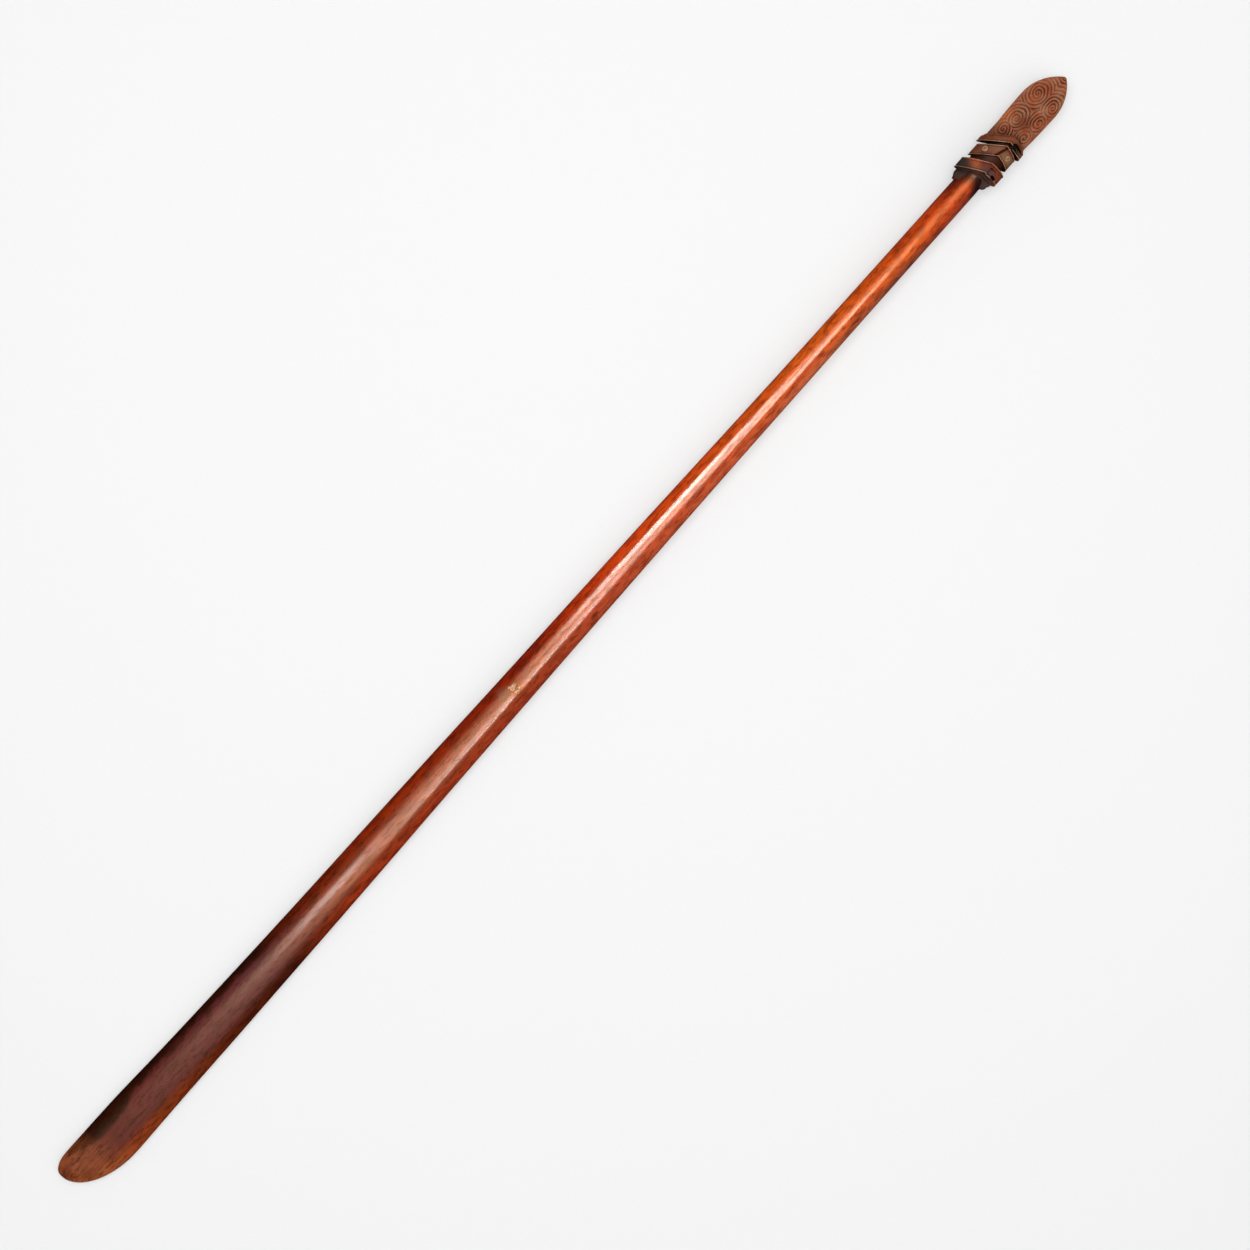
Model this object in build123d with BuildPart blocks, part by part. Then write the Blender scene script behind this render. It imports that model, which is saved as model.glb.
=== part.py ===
from build123d import *
from math import acos, cos, radians, sin, sqrt, tan
import os

os.makedirs("parts", exist_ok=True)

# A taiaha: a long hardwood fighting staff, carved from one piece of wood. It lies along X with its
# tongue towards +X and its blade towards -X, on its back, with the lowest point of the head and of
# the blade at Z = 0. Distances along the staff are measured from the tip of the tongue.

# Tongue
tongue_length = 100.5  # from its tip to the far side of the lip
tongue_width = 46.2
tongue_root_width = 43.4  # where it comes out of the mouth
tongue_point_length = 44.0  # the stretch over which it narrows to its tip
tongue_tip_offset = 2.6  # how far its tip leans to the right
tongue_tip_depth = 5.0
tongue_base_depth = 24.0
tongue_tip_round = 7.0  # the stretch over which its edge thins to the very tip
tip_cut = 1.0  # how much of each pointed end is worn away

# Head: two faces back to back, cut in zigzag bands round the staff
lip_thickness = 9.5
mouth_gap = 4.0
eye_band_thickness = 15.5
groove_gap = 10.0
brow_thickness = 14.0
nape_length = 5.0  # how far the block at the right side of the neck reaches past the brow
nape_taper = 8.0  # the stretch over which it runs out into the neck
nape_left_length = 11.0  # the same two for the block at the left side, whose end is blunt
nape_left_taper = 5.0
lip_width = 50.0
lip_depth = 46.0
eye_band_width = 41.6
eye_band_depth = 43.0
groove_width = 37.0
groove_depth = 38.0
brow_width = 47.6
brow_depth = 48.6
brow_flat = 0.5  # how much of the back brow is worn flat where the staff lies on it
nape_width = 43.0
nape_depth = 25.0
face_fall = 0.42  # how far lip and eye band fall towards the neck, per unit out from their point
brow_fall = 0.24
head_offset = 0.6  # how far head and tongue lie to the right of the middle of the shaft
ridge_shift = 1.5  # how far the points of the bands lie to the right of the middle of the face
head_skew = 13.5  # degrees by which the carved bands lie askew
head_turn = 10.0  # degrees by which the faces are turned about the staff
band_overlap = 1.0  # how far the floor of the groove runs under the bands beside it

# Shaft and blade: oval sections
neck_length = 269.0
upper_shaft_length = 412.0
lower_shaft_length = 413.0
blade_root_length = 315.0
blade_end_length = 99.0
neck_width = 29.0
neck_depth = 26.0
grip_width = 30.4
grip_depth = 26.6
middle_width = 37.8
middle_depth = 24.6
root_width = 48.0
root_depth = 20.0
blade_width = 58.8
blade_depth = 15.0
blade_tip_depth = 9.0
blade_tip_offset = 16.0  # how far the tip lies to the left of the middle
blade_short_round = 22.0  # the stretch over which the left side rounds to the tip
blade_long_round = 78.0  # the same for the right side
blade_edge_round = 12.0  # the stretch over which the blade thins to the very tip
blade_flat = 0.9  # how much of the back of the blade is worn flat where the staff lies on it

# Eyes: a ring of shell in a round recess, held by a wooden peg that is also the pupil
ring_diameter = 6.6
ring_thickness = 1.1
ring_hole = 2.7
left_eye_angle = 44.0  # degrees from the middle of the face
right_eye_angle = 35.0
peg_diameter = 2.4
peg_grip = 5.0  # how far the shank goes into the wood
pupil_diameter = 3.7
pupil_height = 0.8
pupil_round = 0.5
ring_clearance = 0.15
peg_clearance = 0.1
peg_end_gap = 0.3

# Worked out from the sizes above
lip_start = tongue_length - lip_thickness
eye_band_start = tongue_length + mouth_gap
eye_band_end = eye_band_start + eye_band_thickness
brow_start = eye_band_end + groove_gap
brow_end = brow_start + brow_thickness
grip_at = brow_end + neck_length
middle_at = grip_at + upper_shaft_length
root_at = middle_at + lower_shaft_length
blade_at = root_at + blade_root_length
staff_length = blade_at + blade_end_length
head_height = brow_depth / 2 - brow_flat
blade_height = blade_depth / 2 - blade_flat
skew_rise = tan(radians(head_skew))
half_reach = max(lip_width, brow_width)


def x_at(distance):
    """The X of a point that lies this far from the tip of the tongue."""
    return staff_length / 2 - distance


def axis_height(distance):
    """The height of the middle of the staff, which slopes from the head down to the blade."""
    along = (distance - brow_end) / (blade_at - brow_end)
    return head_height + (blade_height - head_height) * min(max(along, 0.0), 1.0)


def rounded(part, whole):
    """The share of full size that a quarter ellipse has reached, part of the way along it."""
    left = 1 - min(part / whole, 1.0)
    return sqrt(1 - left * left)


def section_plane(distance, y=0.0, turn=0.0):
    """A plane across the staff: its local x runs to the left, turned about the staff."""
    side = (0, cos(radians(turn)), sin(radians(turn)))
    return Plane(origin=(x_at(distance), y, axis_height(distance)), x_dir=side, z_dir=(1, 0, 0))


# The plane of the front face: its local x runs from the tongue's tip to the neck, and its local y
# to the right.
face_plane = Plane(
    origin=(x_at(0), -head_offset, head_height),
    x_dir=(-1, 0, 0),
    z_dir=(0, -sin(radians(head_turn)), cos(radians(head_turn))),
)


def fallen(distance, fall, across):
    """Where the edge of a band lies this far out to the right, if its point is at this distance."""
    out = across - ridge_shift
    return distance + fall * abs(out) - skew_rise * out


def carved_band(outline, width, depth):
    """The solid with this outline, seen on the face, that fills an oval of this width and depth."""
    with BuildPart() as band:
        with BuildSketch(face_plane):
            with BuildLine():
                Polyline(outline, close=True)
            make_face()
        extrude(amount=half_reach, both=True)
        with BuildSketch(section_plane(0, y=-head_offset, turn=head_turn)):
            Ellipse(width / 2, depth / 2)
        extrude(amount=-staff_length / 2, mode=Mode.INTERSECT)
    return band.part


def zigzag(start, end, start_fall, end_fall, width, depth):
    """A band round the head: its points lie nearest the tongue, and its arms fall to the neck."""
    stops = (-half_reach, ridge_shift, half_reach)
    near_edge = [(fallen(start, start_fall, across), across) for across in stops]
    far_edge = [(fallen(end, end_fall, across), across) for across in reversed(stops)]
    return carved_band(near_edge + far_edge, width, depth)


# Tongue: a leaf with an arched point, thin at its tip and thick where it leaves the mouth. It ends
# where the lip does.
half_tongue = tongue_width / 2
half_root = tongue_root_width / 2
point_radius = (tongue_point_length**2 + half_tongue**2) / (2 * half_tongue)
tongue_steps = (0.07, 0.15, 0.26, 0.4, 0.58, 0.78, 1.0)


def tongue_half_width(distance):
    """Half the width of the tongue: an arc up to the end of its point, then a slight waist."""
    short = max(tongue_point_length - distance, 0.0)
    along = min(max((distance - tongue_point_length) / (lip_start - tongue_point_length), 0.0), 1.0)
    arc = sqrt(point_radius**2 - short**2) - (point_radius - half_tongue)
    return arc - (half_tongue - half_root) * along**2


def tongue_middle(distance):
    """The Y of the middle of the tongue, whose point leans to the right."""
    return -head_offset - tongue_tip_offset * max(1 - distance / tongue_point_length, 0.0)


root_end = tongue_length + half_reach
behind_lip = zigzag(tongue_length, 2 * root_end, face_fall, face_fall, 2 * half_reach, 2 * half_reach)

with BuildPart() as tongue:
    distances = [tip_cut] + [tongue_point_length * step for step in tongue_steps]
    distances += [(2 * tongue_point_length + lip_start) / 3, (tongue_point_length + 2 * lip_start) / 3]
    distances += [lip_start, root_end]
    for distance in distances:
        slope = (tongue_base_depth - tongue_tip_depth) / tongue_length
        depth = (tongue_tip_depth + slope * distance) * rounded(distance, tongue_tip_round)
        with BuildSketch(section_plane(distance, y=tongue_middle(distance), turn=head_turn)):
            Ellipse(tongue_half_width(distance), depth / 2)
    loft(ruled=True)
    add(behind_lip, mode=Mode.SUBTRACT)

# Shaft and blade: one smooth run of ovals from inside the head to the rounded tip of the blade.
shaft_ovals = [
    (lip_start, neck_width, neck_depth),
    (brow_end, neck_width, neck_depth),
    (grip_at, grip_width, grip_depth),
    (middle_at, middle_width, middle_depth),
    (root_at, root_width, root_depth),
    (blade_at, blade_width, blade_depth),
]
blade_steps = 9
first_angle = acos(1 - tip_cut / blade_long_round)

with BuildPart() as shaft:
    for distance, width, depth in shaft_ovals:
        with BuildSketch(section_plane(distance)):
            Ellipse(width / 2, depth / 2)
    for step in range(blade_steps, -1, -1):
        angle = first_angle + (radians(90) - first_angle) * step / blade_steps
        to_tip = blade_long_round * (1 - cos(angle))
        right = (blade_width / 2 + blade_tip_offset) * sin(angle) - blade_tip_offset
        swell = blade_width / 2 - blade_tip_offset
        left = blade_tip_offset + swell * rounded(to_tip, blade_short_round)
        slope = (blade_depth - blade_tip_depth) / blade_end_length
        depth = (blade_tip_depth + slope * to_tip) * rounded(to_tip, blade_edge_round)
        with BuildSketch(section_plane(staff_length - to_tip, y=(left - right) / 2)):
            Ellipse((left + right) / 2, depth / 2)
    loft(ruled=True)


def eye_plane(angle):
    """The plane that touches the eye band at this angle from the middle of the front face."""
    half_width = eye_band_width / 2
    half_depth = eye_band_depth / 2
    across = half_width * sin(radians(angle))
    outwards = half_depth * cos(radians(angle))
    distance = fallen((eye_band_start + eye_band_end) / 2, face_fall, across)
    facing = face_plane.y_dir * (across / half_width**2) + face_plane.z_dir * (outwards / half_depth**2)
    centre = face_plane.from_local_coords(Vector(distance, across, outwards))
    return Plane(origin=centre, x_dir=(1, 0, 0), z_dir=facing)


eye_planes = {
    "front_left": eye_plane(-left_eye_angle),
    "front_right": eye_plane(right_eye_angle),
    "back_left": eye_plane(180 + right_eye_angle),
    "back_right": eye_plane(180 - left_eye_angle),
}

# Bands: lip, eye band, floor of the groove and brow.
groove_start = eye_band_end - band_overlap
groove_end = brow_start + band_overlap
bands = [
    zigzag(lip_start, tongue_length, face_fall, face_fall, lip_width, lip_depth),
    zigzag(eye_band_start, eye_band_end, face_fall, face_fall, eye_band_width, eye_band_depth),
    zigzag(groove_start, groove_end, face_fall, brow_fall, groove_width, groove_depth),
    zigzag(brow_start, brow_end, brow_fall, brow_fall, brow_width, brow_depth),
]

# Nape: where the two brows meet at the sides they run down the neck as two blocks.
nape_end = brow_end + nape_length
nape_left_end = brow_end + nape_left_length
nape_corners = [
    (brow_start, -nape_width / 2),
    (nape_left_end, -nape_width / 2),
    (nape_left_end + nape_left_taper, -neck_width / 2),
    (nape_end + nape_taper, neck_width / 2),
    (nape_end, nape_width / 2),
    (brow_start, nape_width / 2),
]
nape_outline = [(fallen(distance, 0, across), across) for distance, across in nape_corners]
bands.append(carved_band(nape_outline, nape_width, nape_depth))

# The carved staff: tongue, bands, shaft and blade in one piece of wood, with a round recess and a
# drilled hole for each eye. Its back is worn flat where it lies, at the brow and the blade.

with BuildPart() as carved_staff:
    add(tongue.part)
    add(shaft.part)
    for band in bands:
        add(band)
    for plane in eye_planes.values():
        with BuildSketch(plane.offset(-ring_thickness)):
            Circle(ring_diameter / 2 + ring_clearance)
        extrude(amount=2 * ring_thickness, mode=Mode.SUBTRACT)
        with BuildSketch(plane.offset(-ring_thickness)):
            Circle((peg_diameter + peg_clearance) / 2)
        extrude(amount=-peg_grip - peg_end_gap, mode=Mode.SUBTRACT)
    split(bisect_by=Plane.XY, keep=Keep.TOP)
carved_staff.part.label = "carved_staff"
export_step(carved_staff.part, "parts/carved_staff.step")

# Each eye: a flat ring of shell, and a peg whose shank is driven through it into the wood.
for place, plane in eye_planes.items():
    with BuildPart() as eye_ring:
        with BuildSketch(plane.offset(-ring_thickness)):
            Circle(ring_diameter / 2)
            Circle(ring_hole / 2, mode=Mode.SUBTRACT)
        extrude(amount=ring_thickness)
    eye_ring.part.label = f"eye_ring_{place}"
    export_step(eye_ring.part, f"parts/eye_ring_{place}.step")

    with BuildPart() as eye_peg:
        with BuildSketch(plane.offset(-ring_thickness - peg_grip)):
            Circle(peg_diameter / 2)
        extrude(amount=ring_thickness + peg_grip)
        with BuildSketch(plane):
            Circle(pupil_diameter / 2)
        extrude(amount=pupil_height)
        fillet(eye_peg.faces().sort_by(Axis(plane.origin, plane.z_dir))[-1].edges(), pupil_round)
    eye_peg.part.label = f"eye_peg_{place}"
    export_step(eye_peg.part, f"parts/eye_peg_{place}.step")
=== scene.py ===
import bpy
import numpy as np
from math import atan, cos, pi, radians, sin, sqrt, tan
from mathutils import Matrix, Vector


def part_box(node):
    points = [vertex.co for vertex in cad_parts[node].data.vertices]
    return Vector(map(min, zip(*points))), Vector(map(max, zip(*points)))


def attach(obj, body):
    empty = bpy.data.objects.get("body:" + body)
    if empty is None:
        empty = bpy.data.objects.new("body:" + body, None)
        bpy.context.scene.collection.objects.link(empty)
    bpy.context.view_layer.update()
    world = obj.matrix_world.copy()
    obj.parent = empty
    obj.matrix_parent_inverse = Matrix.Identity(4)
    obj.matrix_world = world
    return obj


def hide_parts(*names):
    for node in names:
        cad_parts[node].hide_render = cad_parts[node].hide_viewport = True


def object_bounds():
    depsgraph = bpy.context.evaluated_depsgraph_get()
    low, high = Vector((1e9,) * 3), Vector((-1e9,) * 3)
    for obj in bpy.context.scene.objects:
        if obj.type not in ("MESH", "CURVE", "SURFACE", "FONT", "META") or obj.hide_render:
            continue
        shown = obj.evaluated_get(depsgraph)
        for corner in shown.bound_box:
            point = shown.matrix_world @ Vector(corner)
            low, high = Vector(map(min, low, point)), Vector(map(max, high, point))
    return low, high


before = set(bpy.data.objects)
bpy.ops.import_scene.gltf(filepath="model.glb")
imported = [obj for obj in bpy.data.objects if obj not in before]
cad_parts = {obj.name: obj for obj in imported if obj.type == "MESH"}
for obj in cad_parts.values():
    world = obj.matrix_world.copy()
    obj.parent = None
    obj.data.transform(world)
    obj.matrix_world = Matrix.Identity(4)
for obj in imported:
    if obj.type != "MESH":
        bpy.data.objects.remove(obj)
cad_low, cad_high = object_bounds()
bpy.ops.object.select_all(action="DESELECT")

# Table: the taiaha lies on a wide sheet of pale matt paper, which glows a little so that shadows
# stay soft, with the camera straight above. Long lamps in a row over the staff, seen only by its
# polish, lie along the wood as one streak, and one big lamp and a side light do the rest.
paper_reach = 30.0
camera_height = 3.024
camera_over = (0.0491, -0.0433)
lamp_height = 3.2
picture_width = 1.3928  # how much of the table the camera sees, from side to side
staff_slant = radians(48.193)  # the staff runs up to the right at this angle


class Shade:
    """A socket of a shader, so that sums on sockets can be written as sums on numbers."""

    def __init__(self, tree, socket):
        self.tree = tree
        self.socket = socket

    def maths(self, operation, *values):
        return self.tree.node("Math", {"operation": operation}, dict(enumerate(values)))

    def __add__(self, other):
        return self.maths("ADD", self, other)

    def __sub__(self, other):
        return self.maths("SUBTRACT", self, other)

    def __rsub__(self, other):
        return self.maths("SUBTRACT", other, self)

    def __mul__(self, other):
        return self.maths("MULTIPLY", self, other)

    def __truediv__(self, other):
        return self.maths("DIVIDE", self, other)

    __radd__ = __add__
    __rmul__ = __mul__

    def between(self, low, high):
        """0 below low and 1 above high, with a smooth step from one to the other."""
        return self.tree.node(
            "MapRange",
            {"interpolation_type": "SMOOTHSTEP"},
            {"Value": self, "From Min": low, "From Max": high},
        )


class Finish:
    """A material under construction: its nodes are added with node(), by type."""

    def __init__(self, name):
        self.material = bpy.data.materials.new(name)
        self.material.use_nodes = True
        self.nodes = self.material.node_tree.nodes
        self.nodes.clear()

    def node(self, kind, settings=None, inputs=None, output=0):
        """A node of this type, with its settings, and the values or links of its sockets."""
        made = self.nodes.new(f"ShaderNode{kind}")
        for name, value in (settings or {}).items():
            if name == "stops":
                self.fill_ramp(made.color_ramp, value)
            else:
                setattr(made, name, value)
        for name, value in (inputs or {}).items():
            if isinstance(value, Shade):
                self.material.node_tree.links.new(value.socket, made.inputs[name])
            else:
                made.inputs[name].default_value = value
        return Shade(self, made.outputs[output]) if made.outputs else None

    def fill_ramp(self, ramp, stops):
        """Gives a colour ramp these stops, each a place and a colour."""
        while len(ramp.elements) > 1:
            ramp.elements.remove(ramp.elements[-1])
        for index, (place, colour) in enumerate(stops):
            element = ramp.elements[0] if index == 0 else ramp.elements.new(place)
            element.position = place
            element.color = (*colour, 1)

    def mix(self, share, first, second, blend="MIX"):
        """Two colours mixed: the first where share is 0, and the second where it is 1."""
        first, second = (c if isinstance(c, Shade) else (*c, 1) for c in (first, second))
        settings = {"data_type": "RGBA", "blend_type": blend}
        return self.node("Mix", settings, {0: share, 6: first, 7: second}, output=2)

    def place(self, stretch=(1, 1, 1), offset=(0, 0, 0)):
        """Where a point is on the object, stretched and moved."""
        where = self.node("TexCoord", output=3)
        return self.node("Mapping", {}, {"Vector": where, "Location": offset, "Scale": stretch})

    def noise(self, size, stretch=(1, 1, 1), detail=3.0, roughness=0.5, offset=(0, 0, 0)):
        """Soft noise from 0 to 1, whose lumps are about this big, in metres."""
        inputs = {"Vector": self.place(stretch, offset), "Scale": 1 / size, "Detail": detail}
        inputs["Roughness"] = roughness
        return self.node("TexNoise", {}, inputs)

    def bump(self, height, strength, distance):
        """A surface roughened by this height, at most this far, in metres."""
        inputs = {"Strength": strength, "Distance": distance, "Height": height}
        return self.node("Bump", {}, inputs)

    def finish(self, **sockets):
        """The surface shader. Words name its sockets, with _ for a space."""
        inputs = {name.replace("_", " "): value for name, value in sockets.items()}
        surface = self.node("BsdfPrincipled", {}, inputs)
        self.node("OutputMaterial", {}, {"Surface": surface})
        return self.material


bpy.ops.mesh.primitive_plane_add(size=paper_reach)
paper = bpy.context.object
paper.name = "paper"
paper_finish = Finish("paper")
fibres = paper_finish.noise(0.004, detail=4.0)
paper_tone = paper_finish.mix(fibres, (0.37, 0.37, 0.37), (0.39, 0.39, 0.39))
paper.data.materials.append(
    paper_finish.finish(
        Base_Color=paper_tone,
        Roughness=0.9,
        Normal=paper_finish.bump(fibres, strength=0.15, distance=0.0002),
        Emission_Color=(1, 1, 1, 1),
        Emission_Strength=0.38,
    )
)
paper.visible_glossy = False

bpy.ops.object.camera_add(location=(*camera_over, camera_height), rotation=(0, 0, -staff_slant))
camera = bpy.context.object
camera.name = "camera"
camera.data.angle = 2 * atan(picture_width / 2 / camera_height)
bpy.context.scene.camera = camera


def soft_light(name, over, size, watts):
    """A flat soft light that shines straight down from over this point of the table."""
    bpy.ops.object.light_add(type="AREA", location=(*over, lamp_height))
    light = bpy.context.object
    light.name = name
    light.data.shape = "RECTANGLE"
    light.data.size, light.data.size_y = size
    light.data.energy = watts
    return light


soft_light("key_light", (0.3, 0.3), (2.4, 2.4), 80).visible_glossy = False
for name, over, size, watts in (
    ("glint_behind_head", (1.33, 0.05), (0.16, 0.60), 60),
    ("streak_on_neck", (0.70, -0.40), (0.64, 1.10), 98),
    ("streak_on_middle", (0.24, 1.00), (0.46, 1.15), 128),
    ("streak_on_shaft", (-0.38, -0.60), (0.56, 0.90), 92),
    ("streak_behind_blade", (-0.84, 0.36), (0.40, 0.85), 38),
    ("sheen_on_blade", (-1.30, 0.05), (1.10, 1.90), 3.5),
):
    soft_light(name, over, size, watts).visible_diffuse = False
bpy.ops.object.light_add(type="SUN", rotation=(radians(42), 0, 0))
side_light = bpy.context.object
side_light.name = "side_light"
side_light.data.energy = 0.6
side_light.data.angle = radians(50)
side_light.visible_glossy = False

world = bpy.data.worlds.new("room")
bpy.context.scene.world = world
world.use_nodes = True
room = world.node_tree.nodes["Background"]
room.inputs["Color"].default_value = (1, 1, 1, 1)
room.inputs["Strength"].default_value = 0.55
world.cycles_visibility.glossy = False
bpy.context.scene.view_settings.view_transform = "Standard"

# Shaft and blade: one length of hardwood, from inside the head to the rounded tip of the blade. The
# maker dressed it with an adze and rubbed it smooth, and years of handling have polished it.
point_worn = 0.001  # how much of the point of the tongue is worn away
tongue_tip = cad_high.x + point_worn  # where the tongue would end if it weren't
staff_length = cad_high.x - cad_low.x
head_height = 0.0238  # how high the middle of the head lies above the paper
blade_height = 0.0066
head_end = 0.144  # distances are measured from the tip of the tongue
blade_start = 1.553  # where the blade begins to round to its end
blade_length = 0.099
shaft_sides = 40  # before it is smoothed
blade_end_steps = 9
shaft_ovals = [  # distance, place to the left, width, depth
    (0.128, 0.0000, 0.0288, 0.0258),
    (0.171, 0.0000, 0.0288, 0.0259),
    (0.320, 0.0000, 0.0293, 0.0262),
    (0.431, -0.0001, 0.0304, 0.0265),
    (0.530, 0.0002, 0.0316, 0.0262),
    (0.630, 0.0005, 0.0338, 0.0256),
    (0.730, 0.0004, 0.0361, 0.0250),
    (0.829, 0.0002, 0.0378, 0.0245),
    (0.929, -0.0002, 0.0400, 0.0235),
    (1.029, -0.0002, 0.0427, 0.0224),
    (1.117, -0.0006, 0.0452, 0.0214),
    (1.206, -0.0012, 0.0472, 0.0203),
    (1.294, -0.0013, 0.0491, 0.0190),
    (1.361, -0.0011, 0.0511, 0.0179),
    (1.416, -0.0010, 0.0528, 0.0170),
    (1.460, -0.0006, 0.0540, 0.0164),
    (1.505, -0.0002, 0.0558, 0.0157),
    (1.538, 0.0002, 0.0578, 0.0152),
]


def axis_height(distance):
    """The height of the middle of the staff, which slopes from the head down to the blade."""
    along = min(max((distance - head_end) / (blade_start - head_end), 0), 1)
    return head_height + (blade_height - head_height) * along


def rounded(part, whole):
    """The share of full size that a quarter ellipse has reached, part of the way along it."""
    left = 1 - min(part / whole, 1)
    return sqrt(1 - left * left)


def blade_end_ovals(steps):
    """The ovals of the rounded end of the blade, whose tip lies to the left of its middle."""
    width, depth, tip_depth, tip_left = 0.0588, 0.015, 0.009, 0.016
    long_round, short_round, edge_round = 0.078, 0.022, 0.012
    blunt_angle = 8  # the last oval is this far short of a point, in degrees
    for step in range(steps + 1):
        angle = radians(90 - (90 - blunt_angle) * step / steps)
        to_tip = long_round * (1 - cos(angle))
        right = (width / 2 + tip_left) * sin(angle) - tip_left
        left = tip_left + (width / 2 - tip_left) * rounded(to_tip, short_round)
        thick = tip_depth + (depth - tip_depth) * to_tip / blade_length
        thick = thick * rounded(to_tip, edge_round)
        yield blade_start + blade_length - to_tip, (left - right) / 2, left + right, thick


def carve_rod(name, sides, ovals):
    """A closed rod through ovals: distance, place to the left, height, width and depth of each."""
    distance, left, height, width, depth = ovals[0]
    centre = (tongue_tip - distance, left, height)
    bpy.ops.mesh.primitive_circle_add(
        vertices=sides, radius=0.5, fill_type="NGON", location=centre, rotation=(0, pi / 2, 0)
    )
    rod = bpy.context.object
    rod.name = name
    bpy.ops.object.transform_apply(location=True, rotation=True, scale=True)
    bpy.ops.object.mode_set(mode="EDIT")
    bpy.ops.mesh.select_all(action="SELECT")
    bpy.ops.transform.resize(value=(1, width, depth), center_override=centre)
    for before, after in zip(ovals, ovals[1:]):
        centre = (tongue_tip - after[0], after[1], after[2])
        step = (before[0] - after[0], after[1] - before[1], after[2] - before[2])
        bpy.ops.mesh.extrude_region_move(TRANSFORM_OT_translate={"value": step})
        growth = (1, after[3] / before[3], after[4] / before[4])
        bpy.ops.transform.resize(value=growth, center_override=centre)
    bpy.ops.mesh.select_all(action="SELECT")
    bpy.ops.mesh.normals_make_consistent(inside=False)
    bpy.ops.object.mode_set(mode="OBJECT")
    return rod


ovals = [(at, left, axis_height(at), width, depth) for at, left, width, depth in shaft_ovals]
tip_ovals = blade_end_ovals(blade_end_steps)
ovals += [(at, left, blade_height, width, depth) for at, left, width, depth in tip_ovals]
shaft = carve_rod("shaft_and_blade", shaft_sides, ovals)
shaft_smooth = shaft.modifiers.new("smooth", "SUBSURF")
shaft_smooth.levels = shaft_smooth.render_levels = 2
bpy.ops.object.modifier_apply(modifier="smooth")
for point in shaft.data.vertices:
    point.co.x = max(point.co.x, cad_low.x)
    point.co.z = max(point.co.z, 0)
bpy.ops.object.shade_smooth()

# How far out each point is: 1 on the left edge of the shaft and the blade, and -1 on the right.
points = np.empty(len(shaft.data.vertices) * 3)
shaft.data.vertices.foreach_get("co", points)
points = points.reshape(-1, 3)
distances, lefts, _, widths, _ = np.array(ovals).T
middle = np.interp(tongue_tip - points[:, 0], distances, lefts)
width = np.interp(tongue_tip - points[:, 0], distances, widths)
sideways = np.clip((points[:, 1] - middle) / width * 2, -1, 1)
out_layer = shaft.data.attributes.new("out", "FLOAT", "POINT")
out_layer.data.foreach_set("value", sideways.astype(np.float32))

polished = Finish("polished_hardwood")
out = polished.node("Attribute", {"attribute_name": "out"}, output=2)
along = polished.node("SeparateXYZ", {}, {"Vector": polished.place()}, output=0)
share = (along - cad_low.x) / staff_length  # 0 at the tip of the blade, 1 at that of the tongue


def tone_along(*stops):
    """The tone of the wood along the staff: a place from 0 to 1 and a colour for each stop."""
    return polished.node("ValToRGB", {"stops": stops}, {"Fac": share})


# The tone of the left side, the middle and the right side of the staff. On most of the blade the
# left tone is painted shade: nearly black along the left edge, which turns away from the light.
left_tone_and_shade = tone_along(
    (0.01, (0.24, 0.060, 0.020)),
    (0.022, (0.13, 0.030, 0.009)),
    (0.036, (0.02, 0.003, 0.001)),
    (0.20, (0.025, 0.003, 0.001)),
    (0.26, (0.15, 0.012, 0.001)),
    (0.34, (0.23, 0.018, 0.001)),
    (0.47, (0.22, 0.012, 0.001)),
    (0.56, (0.58, 0.045, 0.001)),
    (0.76, (0.60, 0.095, 0.006)),
    (0.87, (0.44, 0.040, 0.001)),
    (0.905, (0.14, 0.010, 0.002)),
)
middle_tone = tone_along(
    (0.02, (0.22, 0.056, 0.022)),
    (0.045, (0.10, 0.016, 0.013)),
    (0.20, (0.085, 0.014, 0.021)),
    (0.28, (0.20, 0.020, 0.003)),
    (0.47, (0.26, 0.026, 0.006)),
    (0.56, (0.44, 0.045, 0.010)),
    (0.72, (0.60, 0.085, 0.012)),
    (0.84, (0.55, 0.075, 0.007)),
    (0.88, (0.50, 0.046, 0.002)),
    (0.905, (0.45, 0.050, 0.008)),
)
right_tone = tone_along(
    (0.02, (0.29, 0.080, 0.027)),
    (0.05, (0.23, 0.036, 0.006)),
    (0.14, (0.10, 0.012, 0.002)),
    (0.21, (0.05, 0.006, 0.002)),
    (0.27, (0.26, 0.026, 0.004)),
    (0.47, (0.31, 0.040, 0.012)),
    (0.67, (0.54, 0.100, 0.035)),
    (0.75, (0.46, 0.105, 0.038)),
    (0.84, (0.24, 0.050, 0.022)),
    (0.87, (0.34, 0.045, 0.014)),
    (0.91, (0.16, 0.022, 0.012)),
)
patches = polished.noise(0.009, stretch=(0.5, 1, 1), detail=4.0, roughness=0.6)
rim = out + 0.35 * share.between(0.012, 0.04) * (1 - share.between(0.045, 0.085))
rim = rim + 0.28 * share.between(0.18, 0.30)
rim = rim + 0.5 * (patches - 0.5)
# The wood's tone with painted side shade: the left tone takes over towards the left edge, and the
# right tone towards the right edge.
tone_and_side_shade = polished.mix(rim.between(0.50, 0.80), middle_tone, left_tone_and_shade)
tone_and_side_shade = polished.mix((0 - out).between(0.35, 0.75), tone_and_side_shade, right_tone)
dulled = patches.between(0.42, 0.64) * 0.6
tone_and_side_shade = polished.mix(dulled, tone_and_side_shade, (0.45, 0.30, 0.25), "MULTIPLY")
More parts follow.
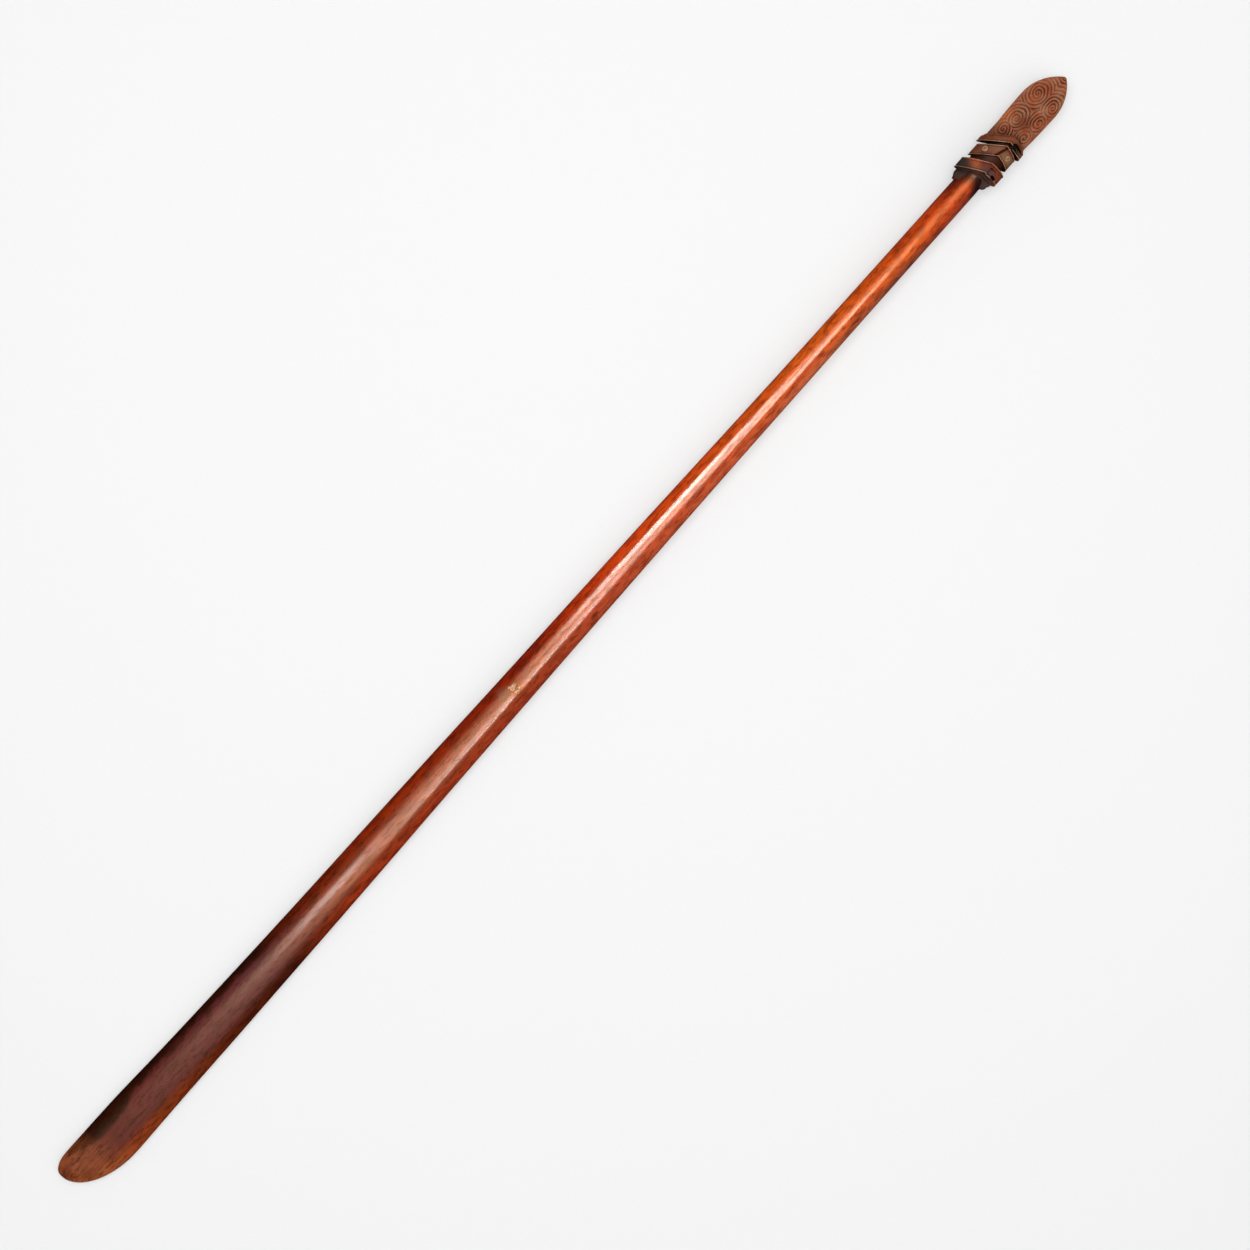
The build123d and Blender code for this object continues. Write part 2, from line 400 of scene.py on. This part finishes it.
# The neck is painted nearly black just behind the head, and the dark reaches further towards the
# blade at its sides.
dark_behind_head = (share + 0.008 * (out * out)).between(0.8985, 0.9090)
tone_and_side_shade = polished.mix(dark_behind_head, tone_and_side_shade, (0.016, 0.004, 0.005))
grain = polished.noise(0.0022, stretch=(0.06, 1, 1), detail=5.0, roughness=0.65)
flecks = polished.noise(0.0030, stretch=(0.25, 1, 1), detail=4.0, roughness=0.65)
dark_grain, dark_flecks = grain.between(0.4, 0.7) * 0.4, flecks.between(0.50, 0.64) * 0.65
wood_tone = polished.mix(dark_grain, tone_and_side_shade, (0.40, 0.22, 0.15), "MULTIPLY")
wood_tone = polished.mix(dark_flecks, wood_tone, (0.30, 0.18, 0.14), "MULTIPLY")

# A scar near the middle of the shaft: splintered pale wood with dirt in it, and a dull smudge
# beside it.
where = polished.place()
ragged = 0.012 * (polished.noise(0.006, detail=3.0, roughness=0.6) - 0.5)


def around(centre, reach):
    """1 at this point of the shaft, falling to 0 along a ragged edge."""
    away = polished.node("VectorMath", {"operation": "DISTANCE"}, {0: where, 1: centre}, output=1)
    return 1 - (away + ragged).between(0.003, reach)


scar = around((-0.084, 0.001, 0.027), 0.019)
smudge = around((-0.097, 0.005, 0.026), 0.013)
splinters = polished.noise(
    0.0018, stretch=(0.5, 1, 1), detail=4.0, roughness=0.8, offset=(0.02, 0.03, 0)
)
pale, dirt = (scar * splinters).between(0.47, 0.57), (scar * (1 - splinters)).between(0.47, 0.56)
wood_tone = polished.mix(smudge * 0.6, wood_tone, (0.13, 0.060, 0.035))
wood_tone = polished.mix(pale, wood_tone, (0.50, 0.33, 0.22))
wood_tone = polished.mix(dirt, wood_tone, (0.05, 0.030, 0.018))

# The polish is thickest on the middle of the shaft, rubbed off the neck by hands, and kept where
# the neck meets the head.
varnish = 0.36 + 0.59 * share.between(0.47, 0.55) - 0.95 * share.between(0.64, 0.86)
varnish = varnish + 0.9 * share.between(0.906, 0.909)
varnish = varnish * (1 - 0.55 * flecks.between(0.45, 0.68)) * (1 - scar)
uneven = 0.4 * grain + 0.5 * flecks + 1.3 * patches
wood = polished.finish(
    Base_Color=wood_tone,
    Roughness=0.20 + 0.14 * patches + 0.12 * share.between(0.78, 0.87),
    Specular_IOR_Level=0.25,
    Specular_Tint=(1, 0.47, 0.20, 1),
    Coat_Weight=varnish,
    Coat_Roughness=0.15,
    Normal=polished.bump(uneven, strength=0.35, distance=0.0004),
)
shaft.data.materials.append(wood)
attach(shaft, "root")
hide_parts("carved_staff")

# Tongue: the point of the staff, thin at its tip and thick where it leaves the mouth, with the lips
# flaring round its root. Both its faces are carved with spirals, cut as rows of ridges and grooves.
head_turn = radians(10)  # the faces are turned about the staff
head_offset = 0.0006  # head and tongue lie this far to the right of the middle of the shaft
head_skew = tan(radians(15.5))  # the carved bands lie askew
ridge_shift = 0.0015  # how far the points of the bands lie to the right of the middle
face_fall = 0.45  # how far the arms of a band fall towards the neck, per unit out from its point
lip_start = 0.0895
lip_end = 0.1005
tongue_root = 0.0985  # where the tongue ends, inside the lips
tongue_width = 0.0462
tongue_root_width = 0.0434
tongue_point = 0.044  # the stretch over which it narrows to its tip
tongue_lean = 0.0026  # how far its tip leans to the right
tongue_ovals = 26
tongue_sides = 96
tongue_reach = 0.115  # how far it is carved before the mouth cuts it off
tongue_tip_thick = 0.005
tongue_taper = 0.19  # how much thicker it grows, per unit back from its tip
tongue_edge_round = 0.007
carving_grain = 0.00046  # the finest detail that is carved
relief_depth = 0.0012  # how deep the grooves of the tongue are cut
worn_edge = 0.0003  # how far the rubbed edges of the bands stand up
ridge_pitch = 0.0036  # from one turn of a spiral to the next
notch_pitch = 0.0021  # from one notch to the next, along every other ridge
notch_depth = 0.55  # as a share of the depth of a groove
spiral_stretch = (0.82, 1.1)  # the spirals are longer than they are wide
spirals = [  # distance, place to the right, and which way it winds
    (0.0357, -0.0100, 1),
    (0.0363, 0.0140, -1),
    (0.0730, -0.0093, -1),
    (0.0600, 0.0135, 1),
    (0.0920, -0.0130, 1),
    (0.0830, 0.0120, -1),
]


def fallen(distance, fall, across):
    """Where the edge of a band lies this far out to the right, if its point is at this distance."""
    out = across - ridge_shift
    return distance + fall * abs(out) - head_skew * out


def tongue_half_width(distance):
    """Half the width of the tongue: an arc up to the end of its point, then a slight waist."""
    radius = (tongue_point**2 + (tongue_width / 2) ** 2) / tongue_width
    short = max(tongue_point - distance, 0)
    waist = min(max((distance - tongue_point) / (lip_start - tongue_point), 0), 1) ** 2
    arc = sqrt(radius**2 - short**2) - (radius - tongue_width / 2)
    return arc - waist * (tongue_width - tongue_root_width) / 2


def carved_band(name, near, far):
    """A zigzag band round the head, between two edges: distance, fall, width and depth of each."""
    bpy.ops.mesh.primitive_cylinder_add(vertices=96, radius=0.5, depth=1, rotation=(0, pi / 2, 0))
    band = bpy.context.object
    band.name = name
    bpy.ops.object.transform_apply(location=True, rotation=True, scale=True)
    crease = (0, -2 * ridge_shift / (near[2] + far[2]), 0)
    bpy.ops.object.mode_set(mode="EDIT")
    bpy.ops.mesh.select_all(action="SELECT")
    bpy.ops.mesh.bisect(plane_co=crease, plane_no=(0, 1, 0))
    bpy.ops.object.mode_set(mode="OBJECT")
    for point in band.data.vertices:
        distance, fall, width, depth = near if point.co.x > 0 else far
        point.co.y *= width
        point.co.z *= depth
        point.co.x = tongue_tip - fallen(distance, fall, -point.co.y)
    return band


def fuse(piece):
    """Makes one skin of a piece, with the worn edges of old wood."""
    bpy.context.view_layer.objects.active = piece
    remesh = piece.modifiers.new("fuse", "REMESH")
    remesh.mode = "VOXEL"
    remesh.voxel_size = carving_grain
    bpy.ops.object.modifier_apply(modifier="fuse")
    soften = piece.modifiers.new("soften", "SMOOTH")
    soften.iterations = 3
    bpy.ops.object.modifier_apply(modifier="soften")


def ridges(phase):
    """Rounded ridges with sharp grooves between them, from 0 on a ridge to -1 in a groove."""
    return -np.clip(0.25 - 0.75 * np.cos(2 * pi * phase), 0, 1)


def tongue_relief(distance, across, upright, aslant):
    """How deep the tongue is cut here: full depth on its two faces, and none along its edges."""
    # By hand no turn is quite even: the rows sway a little, and some places are worn more.
    sway = 0.10 * np.sin(330 * distance + 2 * np.sin(260 * across))
    worn = 0.75 + 0.25 * np.sin(210 * distance + 170 * across) * np.sin(190 * across)
    best = np.full(distance.shape, np.inf)
    phase = np.zeros(distance.shape)
    along_ridge = np.zeros(distance.shape)
    for centre, side, winding in spirals:
        ahead, out = distance - centre, across - side
        reach = np.hypot(spiral_stretch[0] * ahead, spiral_stretch[1] * out)
        angle = np.arctan2(out, ahead) * winding
        turns = reach / ridge_pitch + angle / (2 * pi) + sway
        nearer = reach < best
        best = np.where(nearer, reach, best)
        phase = np.where(nearer, turns, phase)
        row = np.floor(turns + 0.5)
        notches = np.maximum(np.round(row * 2 * pi * ridge_pitch / notch_pitch), 1)
        along_ridge = np.where(nearer, np.where(row % 2 == 0, angle * notches, 0), along_ridge)
    cut = ridges(phase)
    notched = notch_depth * np.clip(-np.cos(along_ridge), 0, 1) ** 2 * (1 + cut)
    return relief_depth * worn * (cut - notched) * upright**1.5


def carve(piece, relief):
    """Cuts a relief into a piece that still lies level on the middle of the staff."""
    count = len(piece.data.vertices)
    points, normals = np.empty(count * 3), np.empty(count * 3)
    piece.data.vertices.foreach_get("co", points)
    piece.data.vertex_normals.foreach_get("vector", normals)
    points, normals = points.reshape(-1, 3), normals.reshape(-1, 3)
    upright, aslant = np.abs(normals[:, 2]), 1 - normals[:, 0] ** 2
    cut = relief(tongue_tip - points[:, 0], -points[:, 1], upright, aslant)
    points += normals * cut[:, None]
    piece.data.vertices.foreach_set("co", points.ravel())
    piece.data.update()
    for mark, amount in (("groove", -cut / relief_depth), ("worn", cut / worn_edge)):
        layer = piece.data.attributes.new(mark, "FLOAT", "POINT")
        layer.data.foreach_set("value", np.clip(amount, 0, 1).astype(np.float32))


def turn_to_face(piece):
    """Turns a finished carving about the staff and moves it to its place."""
    piece.data.transform(Matrix.Rotation(head_turn, 4, "X"))
    piece.data.transform(Matrix.Translation((0, -head_offset, head_height)))
    for point in piece.data.vertices:
        point.co.z = max(point.co.z, 0)


tongue_shape = []
for step in range(tongue_ovals):
    distance = point_worn + (tongue_reach - point_worn) * (step / (tongue_ovals - 1)) ** 2
    thick = (tongue_tip_thick + tongue_taper * distance) * rounded(distance, tongue_edge_round)
    lean = tongue_lean * max(1 - distance / tongue_point, 0)
    tongue_shape.append((distance, -lean, 0, 2 * tongue_half_width(distance), thick))
tongue = carve_rod("carved_tongue", tongue_sides, tongue_shape)
for point in tongue.data.vertices:
    root = fallen(tongue_root, face_fall, -point.co.y)
    point.co.x = max(point.co.x, tongue_tip - root)
fuse(tongue)
carve(tongue, tongue_relief)
turn_to_face(tongue)
bpy.ops.object.shade_smooth()

# Patches of colour on the carving: stains of the wood, with painted shade and a painted highlight
# among them, marked below.
stains_shade_and_highlight = [  # distance, place to the right, reach, strength and colour
    (0.026, 0.000, 0.010, 0.6, (0.26, 0.050, 0.016)),
    (0.072, 0.002, 0.014, 0.7, (0.13, 0.026, 0.009)),
    (0.090, 0.006, 0.010, 0.5, (0.12, 0.030, 0.014)),
    (0.078, -0.021, 0.012, 0.7, (0.40, 0.110, 0.030)),
    (0.134, 0.002, 0.014, 0.8, (0.10, 0.005, 0.002)),
    (0.128, -0.006, 0.009, 0.8, (0.07, 0.006, 0.002)),
    # painted highlight on the left arm of the brow
    (0.141, -0.011, 0.011, 0.7, (0.34, 0.068, 0.017)),
    (0.116, 0.015, 0.010, 0.7, (0.20, 0.105, 0.045)),
    (0.118, -0.010, 0.011, 0.6, (0.14, 0.066, 0.028)),
    # painted shade under the right end of the brow and on the two blocks of the nape
    (0.143, 0.010, 0.011, 0.8, (0.045, 0.028, 0.028)),
    (0.152, 0.020, 0.010, 0.8, (0.070, 0.050, 0.048)),
    (0.153, -0.020, 0.017, 0.95, (0.030, 0.022, 0.020)),
    # painted shade in the pocket of the mouth
    (0.101, 0.015, 0.010, 0.9, (0.012, 0.005, 0.002)),
]

carved = Finish("carved_hardwood")
depth_cut = carved.node("Attribute", {"attribute_name": "groove"}, output=2)
# Painted shade: the hollows that the ambient occlusion finds are painted nearly black.
open_air = carved.node("AmbientOcclusion", {"samples": 8}, {"Distance": 0.012}, output=1)
hollow_shade = 1 - open_air.between(0.35, 0.85)
clouds = carved.noise(0.016, detail=3.0)
specks = carved.noise(0.0014, detail=4.0, roughness=0.65)
grain_lines = carved.noise(0.0016, stretch=(0.12, 1, 1), detail=4.0)
carved_tone = carved.mix(clouds.between(0.35, 0.65), (0.26, 0.060, 0.022), (0.27, 0.110, 0.056))
carved_tone = carved.mix(specks.between(0.5, 0.75) * 0.4, carved_tone, (0.46, 0.24, 0.14))
forward = carved.node("SeparateXYZ", {}, {"Vector": carved.place()}, output=0)
# The head is darkened against the tongue, and the ends of the nape blocks behind the brow are
# painted shade, nearly black.
handled, nape_shade = 1 - forward.between(0.724, 0.742), 0.75 - 0.75 * forward.between(0.673, 0.681)
carved_tone = carved.mix(handled, carved_tone, (0.50, 0.42, 0.37), "MULTIPLY")
carved_tone = carved.mix(nape_shade, carved_tone, (0.022, 0.013, 0.012))
level = carved.place((1, 1, 0))
for distance, right, reach, strength, patch_colour in stains_shade_and_highlight:
    centre = (tongue_tip - distance, -right, 0)
    aside = carved.node("VectorMath", {"operation": "DISTANCE"}, {0: level, 1: centre}, output=1)
    carved_tone = carved.mix(strength * (1 - aside.between(0.3 * reach, reach)), carved_tone, patch_colour)
rubbed = carved.node("Attribute", {"attribute_name": "worn"}, output=2)
carved_tone = carved.mix(rubbed * specks.between(0.3, 0.6) * 0.8, carved_tone, (0.40, 0.19, 0.11))
carved_tone = carved.mix(grain_lines.between(0.5, 0.8) * 0.45, carved_tone, (0.08, 0.018, 0.007))
carved_tone = carved.mix(depth_cut.between(0.1, 0.9) * 0.88, carved_tone, (0.030, 0.005, 0.002))
carved_tone = carved.mix(hollow_shade * 0.95, carved_tone, (0.008, 0.002, 0.002))
carved_wood = carved.finish(
    Base_Color=carved_tone,
    Roughness=0.42 + 0.25 * specks,
    Specular_IOR_Level=0.08,
    Specular_Tint=(1, 0.7, 0.5, 1),
    Coat_Weight=0.4 * rubbed,
    Coat_Roughness=0.3,
    Normal=carved.bump(specks + grain_lines, strength=0.5, distance=0.0003),
)
tongue.data.materials.append(carved_wood)
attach(tongue, "root")
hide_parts("carved_staff")

# Head: two faces back to back, cut in zigzag bands round the staff. Deep slots part the lips from
# the eyes and the eyes from the brows, and the brows run out in two blocks down the neck's sides.
brow_fall = 0.24
eye_start, eye_end = 0.1045, 0.120
brow_start, brow_end = 0.130, 0.144
eye_size = (0.0436, 0.0430)  # width and depth of the band of the eyes
lip_size = (0.0492, 0.0446)  # and of the lips, where their slope ends
nape_size = (0.042, 0.021)
nape_slant = 0.14  # the left block reaches further down the neck than the right one
nape_clear = 0.1445  # where the blocks come out from under the brow
bands = [  # name, then distance, fall, width and depth of the near edge and of the far edge
    ("lip_slope", (lip_start, face_fall, 0.0440, 0.0270), (0.0930, face_fall, *lip_size)),
    ("lip_ring", (0.0926, face_fall, *lip_size), (lip_end, face_fall, 0.0500, 0.0460)),
    ("core", (0.096, 0, 0.0280, 0.0250), (0.150, 0, 0.0280, 0.0250)),
    ("eye_band", (eye_start, face_fall, *eye_size), (eye_end, face_fall, *eye_size)),
    ("groove", (0.119, face_fall, 0.0385, 0.0380), (0.131, brow_fall, 0.0385, 0.0380)),
    ("brow", (brow_start, brow_fall, 0.0486, 0.0468), (brow_end, brow_fall, 0.0480, 0.0480)),
    ("nape", (0.137, 0, *nape_size), (0.152, 0, *nape_size)),
    ("nape_slope", (0.152, 0, *nape_size), (0.161, 0, 0.0350, 0.0190)),
]
recess_radius = 0.0037  # of the recess that each ring lies in
recess_cutter = 0.004  # the length of the cutter of a recess
recess_lift = 0.0016  # how far its middle lies outside that of the ring
line_depth = 0.0009  # how deep a line runs just inside each edge of a band
lip_border, eye_border, brow_border = 0.0024, 0.0021, 0.0024  # and how far inside
fold_depth = 0.0024  # the fold between the eyes
fold_width = 0.0019
fold_start, fold_right, fold_slant = 0.105, 0.0042, 0.35
groove_sunk = 0.0012  # how much deeper the groove between the eyes and the brows is cut
groove_blend = 0.0008  # the distance over which it reaches that depth
nape_pitch = 0.0026  # from one line of the nape to the next
nape_line_depth = 0.0007
nape_chevron = 1.25  # how far its lines fall towards the neck, per unit out
edge_kept = 0.001  # the fold and the lines of the nape stop this far from the edges of a band
blend = 0.0005  # and start over this distance
mouth_left, notch_left, nostril_left = 0.0090, 0.0185, 0.0090  # the depth of wood each cut leaves
mouth_corner = [  # the corners of each cut: distance, place to the right
    (0.0962, 0.0075),
    (0.0975, 0.0170),
    (0.1000, 0.0238),
    (0.1085, 0.0238),
    (0.1070, 0.0165),
    (0.1045, 0.0125),
    (0.1030, 0.0070),
    (0.1000, 0.0050),
]
notch = [(0.1345, 0.0040), (0.1345, 0.0115), (0.1480, 0.0180), (0.1480, 0.0040)]
nostril = [(0.1390, 0.0105), (0.1395, 0.0160), (0.1434, 0.0168), (0.1430, 0.0112)]
ring_names = [node_name for node_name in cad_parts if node_name.startswith("eye_ring")]


def cut_away(piece, outline, depth_left):
    """Cuts a slot with this outline, as (distance, across) corners, into both faces of a piece."""
    corners = [(tongue_tip - distance, -across) for distance, across in outline]
    past_surface = 0.05
    for side in (1, -1):
        bottom, top = sorted((side * depth_left, side * past_surface))
        bpy.ops.mesh.primitive_cylinder_add(vertices=len(corners), radius=1, depth=top - bottom)
        cutter = bpy.context.object
        cutter.location.z = (top + bottom) / 2
        bpy.ops.object.transform_apply(location=True, rotation=True, scale=True)
        for index, point in enumerate(cutter.data.vertices):
            point.co.x, point.co.y = corners[index // 2]
        bpy.ops.object.mode_set(mode="EDIT")
        bpy.ops.mesh.select_all(action="SELECT")
        bpy.ops.mesh.normals_make_consistent(inside=False)
        bpy.ops.object.mode_set(mode="OBJECT")
        slot = piece.modifiers.new("slot", "BOOLEAN")
        slot.operation = "DIFFERENCE"
        slot.object = cutter
        bpy.context.view_layer.objects.active = piece
        bpy.ops.object.modifier_apply(modifier="slot")
        bpy.data.objects.remove(cutter)


def cut_eyes(piece, width, depth):
    """A round recess in the eye band for each ring of shell."""
    for name in ring_names:
        low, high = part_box(name)
        out = (low + high) / 2 - Vector((0, -head_offset, head_height))
        out.rotate(Matrix.Rotation(-head_turn, 3, "X"))
        facing = Vector((0, out.y / width**2, out.z / depth**2)).normalized()
        bpy.ops.mesh.primitive_cylinder_add(vertices=32, radius=recess_radius, depth=recess_cutter)
        cutter = bpy.context.object
        cutter.location = out + facing * recess_lift
        cutter.rotation_euler = facing.to_track_quat("Z", "X").to_euler()
        socket = piece.modifiers.new("socket", "BOOLEAN")
        socket.operation = "DIFFERENCE"
        socket.object = cutter
        bpy.context.view_layer.objects.active = piece
        bpy.ops.object.modifier_apply(modifier="socket")
        bpy.data.objects.remove(cutter)


def ramp(value, start, length):
    """0 up to the start, then rising evenly to 1 over this length."""
    return np.clip((value - start) / length, 0, 1)


def line(offset, width=0.0007):
    """A cut line where this offset is zero, from 0 beside it to -1 at its bottom."""
    return -np.clip(1 - np.abs(offset) / width, 0, 1)


def edge_lines(distance, start, end, border):
    """A cut line just inside each edge of a band, and an edge that hands have rubbed."""
    inside = np.minimum(distance - start, end - distance)
    rub_inside, rub_width = 0.0006, 0.0009
    rubbed_edge = -line(inside - rub_inside, rub_width)
    return line_depth * line(inside - border) + worn_edge * rubbed_edge


def head_relief(distance, across, upright, aslant):
    """How deep the head is cut here: lines along the bands, and the fold between the eyes."""
    on_face = distance - fallen(0, face_fall, across)
    on_brow = distance - fallen(0, brow_fall, across)
    on_neck = distance - fallen(0, 0, across)
    on_eyes = ramp(eye_end - on_face, edge_kept, blend)
    on_eyes = on_eyes * ramp(on_face - eye_start, edge_kept, blend)
    on_nape = ramp(on_brow - brow_end, edge_kept, blend)
    on_groove = ramp(on_face - eye_end, 0, groove_blend)
    on_groove = on_groove * ramp(brow_start - on_brow, 0, groove_blend)
    fold = line(across - fold_right + fold_slant * (distance - fold_start), fold_width)
    cut = edge_lines(on_face, eye_start, eye_end, eye_border)
    cut = cut + edge_lines(on_face, lip_start, lip_end, lip_border)
    cut = cut + edge_lines(on_brow, brow_start, brow_end, brow_border)
    cut = cut + fold_depth * on_eyes * fold - groove_sunk * on_groove
    nape_lines = ridges((on_neck + nape_chevron * abs(across)) / nape_pitch)
    cut = cut + nape_line_depth * on_nape * nape_lines
    return cut * aslant


parts = {name: carved_band(name, near, far) for name, near, far in bands}
for name in ("lip_slope", "lip_ring", "eye_band"):
    cut_away(parts[name], mouth_corner, mouth_left)
cut_eyes(parts["eye_band"], *eye_size)
cut_away(parts["brow"], notch, notch_left)
cut_away(parts["brow"], nostril, nostril_left)
for name in ("nape", "nape_slope"):
    for point in parts[name].data.vertices:
        if point.co.x < tongue_tip - nape_clear:
            point.co.x -= nape_slant * point.co.y
bpy.ops.object.select_all(action="DESELECT")
for part in parts.values():
    part.select_set(True)
bpy.context.view_layer.objects.active = parts["core"]
bpy.ops.object.join()
head = bpy.context.object
head.name = "carved_head"
fuse(head)
carve(head, head_relief)
turn_to_face(head)
bpy.ops.object.shade_smooth()
head.data.materials.append(carved_wood)
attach(head, "root")
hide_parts("carved_staff")

# Eyes: rings of shell, dulled and stained by handling, each held by a peg of dark wood that is
# driven through it into the head. The domed head of the peg is the pupil.
shell = Finish("eye_shell")
layers = shell.noise(0.0012, stretch=(1, 1, 3), detail=3.0)
grime = shell.noise(0.0025, detail=4.0, roughness=0.6, offset=(1.0, 2.0, 0.5))
shell_tone = shell.mix(layers, (0.32, 0.16, 0.085), (0.42, 0.25, 0.16))
shell_tone = shell.mix(grime.between(0.4, 0.7) * 0.7, shell_tone, (0.26, 0.10, 0.045))
shell_finish = shell.finish(
    Base_Color=shell_tone,
    Roughness=0.3 + 0.3 * grime,
    Normal=shell.bump(layers, strength=0.3, distance=0.0001),
)

peg_wood = Finish("peg_wood")
end_grain = peg_wood.noise(0.0005, detail=4.0)
peg_tone = peg_wood.mix(end_grain, (0.13, 0.045, 0.020), (0.24, 0.095, 0.045))
peg_finish = peg_wood.finish(
    Base_Color=peg_tone,
    Roughness=0.4 + 0.2 * end_grain,
    Normal=peg_wood.bump(end_grain, strength=0.3, distance=0.0001),
)

for node_name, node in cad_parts.items():
    for finish, kind in ((shell_finish, "eye_ring"), (peg_finish, "eye_peg")):
        if node_name.startswith(kind):
            for material_slot in node.material_slots:
                material_slot.material = finish
